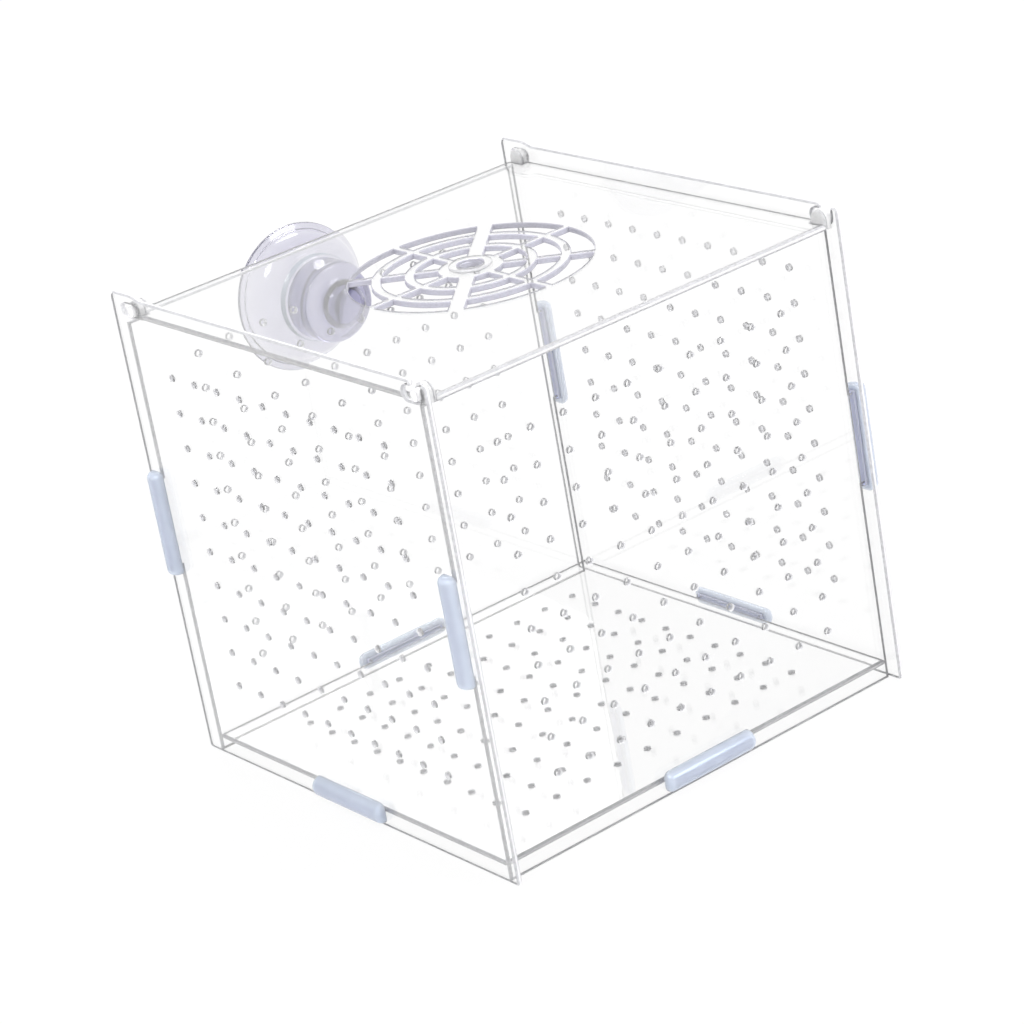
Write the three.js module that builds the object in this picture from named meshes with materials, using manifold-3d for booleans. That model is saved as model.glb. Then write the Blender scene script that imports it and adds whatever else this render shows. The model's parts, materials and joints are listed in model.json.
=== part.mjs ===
// A clear fish breeding box: six thin perforated panels that plug together, tongue through slot,
// held by eight half-round blue clips, with a lid that slides, unlatches and swings up, and a
// suction cup on its back. Millimetres, +Z up; the front wall faces +X, the suction cup -X.
// The origin lies on the surface that the box stands on, under the middle of its whole extent.
import * as THREE from 'three';
import * as BufferGeometryUtils from 'three/addons/utils/BufferGeometryUtils.js';
import Module from 'manifold-3d';

// Driving dimensions of the box
const BOX_LENGTH = 133; // side walls, front to back
const BOX_WIDTH = 130; // over the two side walls
const BOX_HEIGHT = 129.5; // side walls, foot to top edge
const SHEET = 1.5; // every panel
const END_WALL_INSET = 3.6; // from the side walls' ends to the end walls' outer faces
const FLOOR_RAISE = 3.5; // from the foot to the floor's underside
const LID_DROP = 4.1; // from the side walls' top edge down to the lid's top face
const PANEL_CORNER = 1.2; // rounding of the side walls' lower corners
const GAP = 0.3; // clearance between pieces that seat on each other
const OVERRUN = 1; // how far a cutting body passes the face that it cuts
const ARC_STEPS = 4; // straight steps in each arc of an outline
const LEAST_STEP = 0.01; // points of an outline nearer than this are one
const WELD = 0.0001; // vertices of a solid nearer than this are one

// Perforation of the floor and of all four walls
const HOLE_PITCH = 10; // across the walls, and both ways on the floor
const WALL_ROW_PITCH = 9.6; // from row to row up the walls
const ROWS_ABOVE_MIDDLE = 2.3; // rows of holes, and the side walls' tongues, above half a wall's height
const HOLES_ACROSS = 10;
const HOLE_RADIUS = 0.8;
const HOLE_SIDES = 4; // few, because there are some five hundred holes

// Tongues and the slots they plug into
const TONGUE_LENGTH = 25;
const TONGUE_CORNER = 0.5;

// Half-round clips
const CLIP_LENGTH = 29;
const CLIP_RADIUS = 2.8;
const CLIP_ROOF = 0.8; // left over the groove
const CLIP_END_ROUNDING = 1.1; // between the blunt ends and the dome
const CLIP_ARC_STEPS = 8;
const CLIP_END_STEPS = 2;

// Hinge and latch of the lid
const PIN_RADIUS = 1.5;
const PIN_PROUD = 0.4; // past the side wall's outer face
const PIN_SIDES = 16;
const PIN_ABOVE_LID = 0.8; // from the lid's top face up to the pins' axis
const LATCH_TRAVEL = 3.2; // how far the lid slides back to lock
const HINGE_FROM_END = 9.2; // hinge axis from the side wall's rear end, lid unlocked
const LATCH_FROM_END = 4.35; // latch axis from the side wall's front end, lid unlocked
const HOOK_THICKNESS = 1.5; // nose over the latch pocket
const POST_ROUNDING = 1.1;
const EAR_RISE = 1; // hump over the hinge, above the top edge
const EAR_FLAT = 9; // level part of the hump
const EAR_RAMP = 5; // its slope down to the top edge
const EAR_CORNER = 1.8;
const LUG_THICKNESS = 2.2;
const LUG_WALL = 0.7; // round the pin's hole
const PIN_SOCKET = 1.6; // depth of the blind hole in the lug
const LID_BEHIND_HINGE = 2.7; // from the hinge axis back to the lid's rear edge
const LID_FRONT_OVERHANG = 1.9; // past the front wall's outer face, lid unlocked
const LID_CORNER = 0.8;

// Round grille in the lid
const GRILLE_RADIUS = 31.3;
const GRILLE_RINGS = 3;
const GRILLE_SLOT = 5.9;
const GRILLE_BAR = 2.6; // between two rings of slots
const GRILLE_SPOKES = 8;
const MAIN_SPOKE = 3; // the wide one of each half, counted anticlockwise from the front
const SPOKE_WIDTH = 2.1;
const MAIN_SPOKE_WIDTH = 4.2; // the wide bar across, one corner of the lid to the other
const SLOT_ARC_STEPS = 3;
const HUB_RADIUS = 5.6;
const HUB_HOLE_RADIUS = 3.4;
const HUB_RISE = 0.8;
const HUB_SIDES = 20;

// Suction cup
const CUP_BELOW_TOP_ROW_SHARE = 0.35; // of the row pitch, below the back wall's top row of holes
const CUP_RADIUS = 20;
const CUP_REACH = 19; // from the back wall's outer face to the rim
const CUP_SKIRT_DEPTH = 8.2; // from the rim to where the skirt leaves the hub
const CUP_HOLLOW_DEPTH = 6.2;
const CUP_RIM = 0.9; // thickness at the rim
const CUP_HUB_RADIUS = 11;
const CUP_HUB_EDGE = 1.4; // chamfer at the wall end of the hub
const CUP_COLLAR_RISE = 0.8;
const CUP_COLLAR_LENGTH = 2;
const CUP_NECK_RADIUS = 4.4;
const CUP_HEAD_RADIUS = 6.6;
const CUP_HEAD_LENGTH = 4.2;
const CUP_SIDES = 24;
const CUP_CURVE_STEPS = 5;

// Places worked out from the sizes above
const halfLength = BOX_LENGTH / 2;
const halfWidth = BOX_WIDTH / 2;
const endWallOuter = halfLength - END_WALL_INSET;
const endWallInner = endWallOuter - SHEET;
const sideWallInner = halfWidth - SHEET;
const floorMiddle = FLOOR_RAISE + SHEET / 2;
const lidTop = BOX_HEIGHT - LID_DROP;
const lidUnderside = lidTop - SHEET;
const frontWallHeight = lidUnderside - GAP;
const tongueHeight = BOX_HEIGHT / 2 + ROWS_ABOVE_MIDDLE; // middle of the upright tongues and their clips
const endWallRows = frontWallHeight / 2 + ROWS_ABOVE_MIDDLE; // middle of the end walls' rows of holes
const clipGrooveDepth = CLIP_RADIUS - CLIP_ROOF;
const tongueReach = clipGrooveDepth; // past the outer face: the clip's seat gap and its tip gap cancel
const slotLength = TONGUE_LENGTH + 2 * GAP;
const slotWidth = SHEET + 2 * GAP;
const pinHeight = lidTop + PIN_ABOVE_LID;
const pinHoleRadius = PIN_RADIUS + GAP;
const hingeX = -halfLength + HINGE_FROM_END;
// The back wall stops short of the circle in which the lid's rear edge swings
const backWallHeight = pinHeight - Math.hypot(LID_BEHIND_HINGE, PIN_ABOVE_LID + SHEET) - GAP;
const latchX = halfLength - LATCH_FROM_END;
const sideWallTongueX = endWallOuter - SHEET / 2;

const clearPlastic = new THREE.MeshStandardMaterial({
  color: 0xe6ebee, roughness: 0.08, metalness: 0, transparent: true, opacity: 0.35, side: THREE.DoubleSide,
});
const bluePlastic = new THREE.MeshStandardMaterial({
  color: 0x4a6fd0, roughness: 0.18, metalness: 0, transparent: true, opacity: 0.8,
});
const clearVinyl = new THREE.MeshStandardMaterial({
  color: 0xb9b6dc, roughness: 0.2, metalness: 0, transparent: true, opacity: 0.6,
});

const wasm = await Module();
wasm.setup();

const group = new THREE.Group();

function addMesh(name, geometry, material) {
  const mesh = new THREE.Mesh(geometry, material);
  mesh.name = name;
  group.add(mesh);
  return mesh;
}

// A closed solid for joins and cuts, from a geometry whose doubled vertices are merged
function toSolid(geometry) {
  const bare = new THREE.BufferGeometry();
  bare.setAttribute('position', geometry.getAttribute('position').clone());
  if (geometry.index) {
    bare.setIndex(geometry.index.clone());
  }
  const merged = BufferGeometryUtils.mergeVertices(bare, WELD);
  const index = merged.index.array;
  const kept = [];
  for (let i = 0; i < index.length; i += 3) {
    const [a, b, c] = [index[i], index[i + 1], index[i + 2]];
    if (a !== b && b !== c && c !== a) {
      kept.push(a, b, c);
    }
  }
  return new wasm.Manifold(new wasm.Mesh({
    numProp: 3,
    vertProperties: new Float32Array(merged.getAttribute('position').array),
    triVerts: new Uint32Array(kept),
  }));
}

function toGeometry(solid) {
  const mesh = solid.getMesh();
  const geometry = new THREE.BufferGeometry();
  geometry.setAttribute('position', new THREE.BufferAttribute(new Float32Array(mesh.vertProperties), 3));
  geometry.setIndex(new THREE.BufferAttribute(new Uint32Array(mesh.triVerts), 1));
  const flat = geometry.toNonIndexed();
  flat.computeVertexNormals();
  return flat;
}

function roundPath(x, y, radius, sides) {
  const points = [];
  for (let i = 0; i < sides; i += 1) {
    const angle = (2 * Math.PI * (i + 0.5)) / sides;
    points.push(new THREE.Vector2(x + radius * Math.cos(angle), y + radius * Math.sin(angle)));
  }
  return new THREE.Path(points);
}

// A rectangle with rounded corners, wound anticlockwise
function roundedRectangle(path, left, bottom, right, top, radius) {
  path.moveTo(left + radius, bottom);
  path.lineTo(right - radius, bottom);
  path.absarc(right - radius, bottom + radius, radius, -Math.PI / 2, 0, false);
  path.lineTo(right, top - radius);
  path.absarc(right - radius, top - radius, radius, 0, Math.PI / 2, false);
  path.lineTo(left + radius, top);
  path.absarc(left + radius, top - radius, radius, Math.PI / 2, Math.PI, false);
  path.lineTo(left, bottom + radius);
  path.absarc(left + radius, bottom + radius, radius, Math.PI, 1.5 * Math.PI, false);
  return path;
}

function rectangularSlot(x, y, width, height) {
  const path = new THREE.Path();
  path.moveTo(x - width / 2, y - height / 2);
  path.lineTo(x + width / 2, y - height / 2);
  path.lineTo(x + width / 2, y + height / 2);
  path.lineTo(x - width / 2, y + height / 2);
  path.closePath();
  return path;
}

// A small hole, drawn with few sides and as open as the round one that it stands for
function holePath(x, y) {
  const turn = (2 * Math.PI) / HOLE_SIDES;
  return roundPath(x, y, HOLE_RADIUS * Math.sqrt(turn / Math.sin(turn)), HOLE_SIDES);
}

// The grid of small holes round its middle; places nearer than `clear` to `keepOut` stay solid
function addPerforation(shape, middleX, middleY, rowPitch, keepOut = null, clear = 0) {
  const fromMiddle = (index) => index - (HOLES_ACROSS - 1) / 2;
  for (let row = 0; row < HOLES_ACROSS; row += 1) {
    for (let column = 0; column < HOLES_ACROSS; column += 1) {
      const x = middleX + fromMiddle(column) * HOLE_PITCH;
      const y = middleY + fromMiddle(row) * rowPitch;
      if (!keepOut || keepOut.distanceTo(new THREE.Vector2(x, y)) > clear) {
        shape.holes.push(holePath(x, y));
      }
    }
  }
}

// A tongue that stands out of the outline; the walk goes anticlockwise in the direction (dx, dy)
function addTongue(shape, middleX, middleY, dx, dy) {
  const along = (share) => [middleX + dx * share, middleY + dy * share];
  const half = TONGUE_LENGTH / 2;
  const reach = tongueReach + GAP + SHEET;
  const [startX, startY] = along(-half);
  const [endX, endY] = along(half);
  const [outX, outY] = [dy * reach, -dx * reach];
  const [turnX, turnY] = [dy * (reach - TONGUE_CORNER), -dx * (reach - TONGUE_CORNER)];
  const [firstX, firstY] = along(-half + TONGUE_CORNER);
  const [lastX, lastY] = along(half - TONGUE_CORNER);
  shape.lineTo(startX, startY);
  shape.lineTo(startX + turnX, startY + turnY);
  shape.lineTo(firstX + outX, firstY + outY);
  shape.lineTo(lastX + outX, lastY + outY);
  shape.lineTo(endX + turnX, endY + turnY);
  shape.lineTo(endX, endY);
}

// The outline as straight steps, without the doubled points where its lines and arcs meet
function outlinePoints(path) {
  const points = [];
  for (const point of path.getPoints(ARC_STEPS)) {
    if (points.length === 0 || point.distanceTo(points[points.length - 1]) > LEAST_STEP) {
      points.push(point);
    }
  }
  if (points[0].distanceTo(points[points.length - 1]) < LEAST_STEP) {
    points.pop();
  }
  return points;
}

// A plate with straight sides from z = 0 up, its holes left out
function extrude(path, depth) {
  return new THREE.ExtrudeGeometry(new THREE.Shape(outlinePoints(path)), { depth, bevelEnabled: false });
}

// The plate of a shape with all its holes cut through in one go
function plateSolid(shape, depth) {
  const cutters = shape.holes.map((hole) => {
    const cutter = extrude(hole, depth + 2 * OVERRUN);
    return cutter.translate(0, 0, -OVERRUN);
  });
  return toSolid(extrude(shape, depth)).subtract(toSolid(BufferGeometryUtils.mergeGeometries(cutters)));
}

function sheet(shape) {
  return toGeometry(plateSolid(shape, SHEET));
}

// Side walls, drawn in X and Z: hinge slot and ear at the rear, latch notch and post at the front
function sideWallShape() {
  const shape = new THREE.Shape();
  const hookUnderside = BOX_HEIGHT - HOOK_THICKNESS;
  const mouthRear = latchX - pinHoleRadius;
  const mouthFront = latchX + pinHoleRadius;
  const lockedX = latchX - LATCH_TRAVEL;
  const noseRadius = HOOK_THICKNESS / 2;
  const postTop = BOX_HEIGHT - POST_ROUNDING / 2;
  const earTop = BOX_HEIGHT + EAR_RISE;
  const rear = -halfLength;

  shape.moveTo(rear + PANEL_CORNER, 0);
  shape.lineTo(halfLength - PANEL_CORNER, 0);
  shape.absarc(halfLength - PANEL_CORNER, PANEL_CORNER, PANEL_CORNER, -Math.PI / 2, 0, false);
  shape.lineTo(halfLength, postTop - POST_ROUNDING);
  shape.absarc(halfLength - POST_ROUNDING, postTop - POST_ROUNDING, POST_ROUNDING, 0, Math.PI / 2, false);
  shape.absarc(mouthFront + POST_ROUNDING, postTop - POST_ROUNDING, POST_ROUNDING, Math.PI / 2, Math.PI, false);
  shape.absarc(latchX, pinHeight, pinHoleRadius, 0, -Math.PI / 2, true);
  shape.absarc(lockedX, pinHeight, pinHoleRadius, -Math.PI / 2, -1.5 * Math.PI, true);
  shape.lineTo(mouthRear - noseRadius, hookUnderside);
  shape.absarc(mouthRear - noseRadius, hookUnderside + noseRadius, noseRadius, -Math.PI / 2, Math.PI / 2, false);
  shape.lineTo(rear + EAR_FLAT + EAR_RAMP, BOX_HEIGHT);
  shape.bezierCurveTo(
    rear + EAR_FLAT + EAR_RAMP / 2, BOX_HEIGHT,
    rear + EAR_FLAT + EAR_RAMP / 2, earTop,
    rear + EAR_FLAT, earTop,
  );
  shape.lineTo(rear + EAR_CORNER, earTop);
  shape.absarc(rear + EAR_CORNER, earTop - EAR_CORNER, EAR_CORNER, Math.PI / 2, Math.PI, false);
  shape.lineTo(rear, PANEL_CORNER);
  shape.absarc(rear + PANEL_CORNER, PANEL_CORNER, PANEL_CORNER, Math.PI, 1.5 * Math.PI, false);

  shape.holes.push(roundedRectangle(
    new THREE.Path(),
    hingeX - LATCH_TRAVEL - pinHoleRadius, pinHeight - pinHoleRadius,
    hingeX + pinHoleRadius, pinHeight + pinHoleRadius, pinHoleRadius,
  ));
  for (const end of [-1, 1]) {
    shape.holes.push(rectangularSlot(end * sideWallTongueX, tongueHeight, slotWidth, slotLength));
  }
  shape.holes.push(rectangularSlot(0, floorMiddle, slotLength, slotWidth));
  addPerforation(shape, 0, tongueHeight, WALL_ROW_PITCH);
  return shape;
}

// End walls, drawn in Y and Z, with a tongue on each upright edge
function endWallShape(height, neckHoleHeight = null) {
  const shape = new THREE.Shape();
  const edge = sideWallInner - GAP;
  shape.moveTo(-edge, 0);
  shape.lineTo(edge, 0);
  addTongue(shape, edge, tongueHeight, 0, 1);
  shape.lineTo(edge, height);
  shape.lineTo(-edge, height);
  addTongue(shape, -edge, tongueHeight, 0, -1);
  shape.closePath();
  shape.holes.push(rectangularSlot(0, floorMiddle, slotLength, slotWidth));
  if (neckHoleHeight === null) {
    addPerforation(shape, 0, endWallRows, WALL_ROW_PITCH);
  } else {
    const neck = new THREE.Vector2(0, neckHoleHeight);
    const neckHole = CUP_NECK_RADIUS + GAP;
    addPerforation(shape, 0, endWallRows, WALL_ROW_PITCH, neck, neckHole + 2 * HOLE_RADIUS);
    shape.holes.push(roundPath(neck.x, neck.y, neckHole, CUP_SIDES));
  }
  return shape;
}

// Floor, drawn in X and Y, with a tongue on each of its four edges
function floorShape() {
  const shape = new THREE.Shape();
  const edgeX = endWallInner - GAP;
  const edgeY = sideWallInner - GAP;
  shape.moveTo(-edgeX, -edgeY);
  addTongue(shape, 0, -edgeY, 1, 0);
  shape.lineTo(edgeX, -edgeY);
  addTongue(shape, edgeX, 0, 0, 1);
  shape.lineTo(edgeX, edgeY);
  addTongue(shape, 0, edgeY, -1, 0);
  shape.lineTo(-edgeX, edgeY);
  addTongue(shape, -edgeX, 0, 0, -1);
  shape.closePath();
  addPerforation(shape, 0, 0, HOLE_PITCH);
  return shape;
}

// One slot of the grille: two arcs between two spokes whose sides are parallel
function grilleSlot(innerRadius, outerRadius, startAngle, endAngle, startSpoke, endSpoke) {
  const points = [];
  const addArc = (radius, from, to, fromSpoke, toSpoke) => {
    const sign = Math.sign(to - from);
    const first = from + sign * Math.asin(fromSpoke / 2 / radius);
    const last = to - sign * Math.asin(toSpoke / 2 / radius);
    for (let i = 0; i <= SLOT_ARC_STEPS; i += 1) {
      const angle = first + ((last - first) * i) / SLOT_ARC_STEPS;
      points.push(new THREE.Vector2(radius * Math.cos(angle), radius * Math.sin(angle)));
    }
  };
  addArc(outerRadius, startAngle, endAngle, startSpoke, endSpoke);
  addArc(innerRadius, endAngle, startAngle, endSpoke, startSpoke);
  return new THREE.Path(points);
}

function addGrille(shape) {
  const step = (2 * Math.PI) / GRILLE_SPOKES;
  // The wide bar lies on the diagonal from the rear right corner to the front left one
  const spokeWidth = (index) => ((index % (GRILLE_SPOKES / 2)) === MAIN_SPOKE ? MAIN_SPOKE_WIDTH : SPOKE_WIDTH);
  for (let ring = 0; ring < GRILLE_RINGS; ring += 1) {
    const outer = GRILLE_RADIUS - ring * (GRILLE_SLOT + GRILLE_BAR);
    for (let spoke = 0; spoke < GRILLE_SPOKES; spoke += 1) {
      shape.holes.push(grilleSlot(
        outer - GRILLE_SLOT, outer, spoke * step, (spoke + 1) * step, spokeWidth(spoke), spokeWidth(spoke + 1),
      ));
    }
  }
}

// Lug that carries one pin: a round eye on a broad foot, drawn in X and Z and joined to the lid
function lugSolid(x, side) {
  const eye = pinHoleRadius + LUG_WALL;
  const foot = lidTop - SHEET / 2;
  const shape = new THREE.Shape();
  shape.moveTo(x - eye, foot);
  shape.lineTo(x + eye, foot);
  shape.lineTo(x + eye, pinHeight);
  shape.absarc(x, pinHeight, eye, 0, Math.PI / 2, false);
  shape.absarc(x, pinHeight, eye, Math.PI / 2, Math.PI, false);
  shape.closePath();
  const geometry = extrude(shape, LUG_THICKNESS);
  geometry.rotateX(Math.PI / 2);
  const outerFace = sideWallInner - GAP;
  geometry.translate(0, side > 0 ? outerFace : -outerFace + LUG_THICKNESS, 0);
  return toSolid(geometry);
}

// Blind hole that holds a pin, cut in from the lug's outer face
function pinSocketCutter(x, side) {
  const geometry = new THREE.CylinderGeometry(pinHoleRadius, pinHoleRadius, PIN_SOCKET + OVERRUN, PIN_SIDES);
  geometry.translate(x, side * (sideWallInner - GAP - (PIN_SOCKET - OVERRUN) / 2), pinHeight);
  return toSolid(geometry);
}

function buildLid() {
  const shape = new THREE.Shape();
  const rear = hingeX - LID_BEHIND_HINGE;
  const front = endWallOuter + LID_FRONT_OVERHANG;
  const edge = sideWallInner - GAP;
  roundedRectangle(shape, rear, -edge, front, edge, LID_CORNER);
  addGrille(shape);
  shape.holes.push(roundPath(0, 0, HUB_HOLE_RADIUS, HUB_SIDES));
  let lid = plateSolid(shape, SHEET).translate(0, 0, lidUnderside);

  const hub = new THREE.Shape(roundPath(0, 0, HUB_RADIUS, HUB_SIDES).getPoints());
  hub.holes.push(roundPath(0, 0, HUB_HOLE_RADIUS, HUB_SIDES));
  lid = lid.add(plateSolid(hub, SHEET / 2 + HUB_RISE).translate(0, 0, lidTop - SHEET / 2));

  for (const x of [hingeX, latchX]) {
    for (const side of [-1, 1]) {
      lid = lid.add(lugSolid(x, side));
      lid = lid.subtract(pinSocketCutter(x, side));
    }
  }
  return toGeometry(lid);
}

// Pin along Y: its inner end sits in the lug's socket, its chamfered tip stands just proud of the wall
function pinGeometry() {
  const inner = sideWallInner - PIN_SOCKET;
  const tip = halfWidth + PIN_PROUD;
  const chamfer = PIN_PROUD / 2;
  const profile = [
    new THREE.Vector2(0, inner),
    new THREE.Vector2(PIN_RADIUS, inner),
    new THREE.Vector2(PIN_RADIUS, tip - chamfer),
    new THREE.Vector2(PIN_RADIUS - chamfer, tip),
    new THREE.Vector2(0, tip),
  ];
  return new THREE.LatheGeometry(profile, PIN_SIDES);
}

// Clip: half a bar with blunt, rounded ends, flat side at z = 0, groove along X for the tongue
function clipGeometry() {
  const straight = CLIP_LENGTH / 2 - CLIP_END_ROUNDING;
  const flat = CLIP_RADIUS - CLIP_END_ROUNDING;
  const profile = [];
  for (const end of [-1, 1]) {
    for (let i = 0; i <= CLIP_END_STEPS; i += 1) {
      const angle = (Math.PI / 2) * (end < 0 ? 1 - i / CLIP_END_STEPS : i / CLIP_END_STEPS);
      profile.push(new THREE.Vector2(
        flat + CLIP_END_ROUNDING * Math.cos(angle),
        end * (straight + CLIP_END_ROUNDING * Math.sin(angle)),
      ));
    }
  }
  profile.unshift(new THREE.Vector2(0, -CLIP_LENGTH / 2));
  profile.push(new THREE.Vector2(0, CLIP_LENGTH / 2));
  const bar = new THREE.LatheGeometry(profile, CLIP_ARC_STEPS * 2);
  bar.rotateZ(Math.PI / 2);
  const keep = new THREE.BoxGeometry(CLIP_LENGTH + OVERRUN, 2 * CLIP_RADIUS + OVERRUN, CLIP_RADIUS + OVERRUN);
  keep.translate(0, 0, (CLIP_RADIUS + OVERRUN) / 2);
  const groove = new THREE.BoxGeometry(slotLength, slotWidth, 2 * clipGrooveDepth);
  const half = toSolid(bar).intersect(toSolid(keep));
  return toGeometry(half.subtract(toSolid(groove)));
}

// Suction cup, turned about its own axis: hollow skirt, thick hub, neck and snap-in head
function cupGeometry() {
  const hubEnd = GAP;
  const skirtStart = CUP_REACH - CUP_SKIRT_DEPTH;
  const headStart = -SHEET - GAP;
  const points = [];
  const add = (radius, height) => points.push(new THREE.Vector2(radius, height));

  // Inside of the hollow, from its middle out to the rim
  for (let i = 0; i <= CUP_CURVE_STEPS; i += 1) {
    const angle = (Math.PI / 2) * (i / CUP_CURVE_STEPS);
    add((CUP_RADIUS - CUP_RIM) * Math.sin(angle), CUP_REACH - CUP_HOLLOW_DEPTH * Math.cos(angle));
  }
  add(CUP_RADIUS, CUP_REACH);
  // Outside of the skirt, flaring back in to the collar on the hub
  const collar = CUP_HUB_RADIUS + CUP_COLLAR_RISE;
  for (let i = 1; i <= CUP_CURVE_STEPS; i += 1) {
    const angle = (Math.PI / 2) * (i / CUP_CURVE_STEPS);
    add(
      CUP_RADIUS - (CUP_RADIUS - collar) * (1 - Math.cos(angle)),
      CUP_REACH - CUP_SKIRT_DEPTH * Math.sin(angle),
    );
  }
  add(collar, skirtStart - CUP_COLLAR_LENGTH);
  add(CUP_HUB_RADIUS, skirtStart - CUP_COLLAR_LENGTH);
  add(CUP_HUB_RADIUS, hubEnd + CUP_HUB_EDGE);
  add(CUP_HUB_RADIUS - CUP_HUB_EDGE, hubEnd);
  // Neck through the wall and the head behind it
  add(CUP_NECK_RADIUS, hubEnd);
  add(CUP_NECK_RADIUS, headStart);
  add(CUP_HEAD_RADIUS, headStart);
  for (let i = 1; i <= CUP_CURVE_STEPS; i += 1) {
    const angle = (Math.PI / 2) * (i / CUP_CURVE_STEPS);
    const radius = i === CUP_CURVE_STEPS ? 0 : CUP_HEAD_RADIUS * Math.cos(angle);
    add(radius, headStart - CUP_HEAD_LENGTH * Math.sin(angle));
  }
  points.reverse();
  points[points.length - 1].x = 0;
  return new THREE.LatheGeometry(points, CUP_SIDES);
}

// Panels
const leftWall = addMesh('left_side_wall', sheet(sideWallShape()), clearPlastic);
leftWall.rotation.x = Math.PI / 2;
leftWall.position.y = -sideWallInner;

const rightWall = addMesh('right_side_wall', sheet(sideWallShape()), clearPlastic);
rightWall.rotation.x = Math.PI / 2;
rightWall.position.y = halfWidth;

const frontWall = addMesh('front_wall', sheet(endWallShape(frontWallHeight)), clearPlastic);
frontWall.rotation.set(Math.PI / 2, Math.PI / 2, 0);
frontWall.position.x = endWallInner;

const topRow = endWallRows + ((HOLES_ACROSS - 1) / 2) * WALL_ROW_PITCH;
const cupHeight = topRow - CUP_BELOW_TOP_ROW_SHARE * WALL_ROW_PITCH;
const backWall = addMesh('back_wall', sheet(endWallShape(backWallHeight, cupHeight)), clearPlastic);
backWall.rotation.set(Math.PI / 2, Math.PI / 2, 0);
backWall.position.x = -endWallOuter;

const floorPanel = addMesh('floor_panel', sheet(floorShape()), clearPlastic);
floorPanel.position.z = FLOOR_RAISE;

addMesh('lid_panel', buildLid(), clearPlastic);

// Pins: two carry the hinge, two drop into the latch notches
for (const [kind, x] of [['hinge', hingeX], ['latch', latchX]]) {
  for (const [sideName, side] of [['left', -1], ['right', 1]]) {
    const pin = addMesh(`${kind}_pin_${sideName}`, pinGeometry(), clearPlastic);
    pin.position.set(x, 0, pinHeight);
    pin.rotation.z = side > 0 ? 0 : Math.PI;
  }
}

// A clip with its length along one axis and its dome facing out along another
function addClip(name, along, outward, position) {
  const clip = addMesh(name, clipGeometry(), bluePlastic);
  const across = new THREE.Vector3().crossVectors(outward, along);
  clip.setRotationFromMatrix(new THREE.Matrix4().makeBasis(along, across, outward));
  clip.position.copy(position);
}

// Clips: on the side walls over the upright tongues, and round the foot over the floor's tongues
const axisX = new THREE.Vector3(1, 0, 0);
const axisY = new THREE.Vector3(0, 1, 0);
const axisZ = new THREE.Vector3(0, 0, 1);
for (const [sideName, side] of [['left', -1], ['right', 1]]) {
  const outward = axisY.clone().multiplyScalar(side);
  const seat = side * (halfWidth + GAP);
  for (const [endName, end] of [['rear', -1], ['front', 1]]) {
    const place = new THREE.Vector3(end * sideWallTongueX, seat, tongueHeight);
    addClip(`${endName}_${sideName}_upright_clip`, axisZ, outward, place);
  }
  addClip(`${sideName}_floor_clip`, axisX, outward, new THREE.Vector3(0, seat, floorMiddle));
}
for (const [endName, end] of [['rear', -1], ['front', 1]]) {
  const outward = axisX.clone().multiplyScalar(end);
  const place = new THREE.Vector3(end * (endWallOuter + GAP), 0, floorMiddle);
  addClip(`${endName}_floor_clip`, axisY, outward, place);
}

const cup = addMesh('suction_cup', cupGeometry(), clearVinyl);
cup.rotation.z = Math.PI / 2;
cup.position.set(-endWallOuter, 0, cupHeight);

// Up to here the box itself is centred; now its whole extent is, from the cup's rim to the front
const rimX = -endWallOuter - CUP_REACH;
const centring = -(rimX + halfLength) / 2;
for (const mesh of group.children) {
  mesh.position.x += centring;
}

export default group;
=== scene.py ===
"""Looks of a clear fish breeding box: six cut acrylic sheets, blue clips, clear pins, a vinyl cup.

Laid out as an add-on, and run as a script. Metres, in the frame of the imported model.
"""
import json
import math

import bmesh
import bpy
from mathutils import Matrix, Vector
from mathutils.geometry import delaunay_2d_cdt


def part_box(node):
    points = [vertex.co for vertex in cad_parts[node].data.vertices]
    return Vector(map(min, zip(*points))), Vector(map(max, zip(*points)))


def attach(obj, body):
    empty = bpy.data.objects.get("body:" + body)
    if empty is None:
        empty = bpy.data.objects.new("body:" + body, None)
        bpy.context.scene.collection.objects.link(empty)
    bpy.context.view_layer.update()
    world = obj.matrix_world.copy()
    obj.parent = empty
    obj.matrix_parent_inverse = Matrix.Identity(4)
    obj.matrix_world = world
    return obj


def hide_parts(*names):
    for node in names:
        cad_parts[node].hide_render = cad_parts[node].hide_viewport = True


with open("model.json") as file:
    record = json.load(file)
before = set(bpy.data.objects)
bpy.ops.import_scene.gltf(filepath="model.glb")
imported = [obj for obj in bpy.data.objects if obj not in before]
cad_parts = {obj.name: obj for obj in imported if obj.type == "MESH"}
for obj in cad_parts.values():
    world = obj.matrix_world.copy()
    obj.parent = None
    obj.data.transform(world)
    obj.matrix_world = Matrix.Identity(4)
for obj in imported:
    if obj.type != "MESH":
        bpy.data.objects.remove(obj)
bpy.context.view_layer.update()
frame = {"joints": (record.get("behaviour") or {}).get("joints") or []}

bl_info = {
    "name": "Fish breeding box",
    "version": (1, 1, 0),
    "blender": (4, 5, 0),
    "location": "3D View > Sidebar > Breeding box",
    "description": "Builds the sheets, clips, pins, suction cup and studio of a clear breeding box",
    "category": "Object",
}

MM = 0.001
QUARTER = math.pi / 2

# Sides of the round forms
PIN_STEPS = 48
CUP_STEPS = 96
CLIP_STEPS = 28

# Order of a sheet's materials
FACE, EDGE, BEVEL, ROUND_HOLE, SQUARE_SLOT = range(5)

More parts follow.
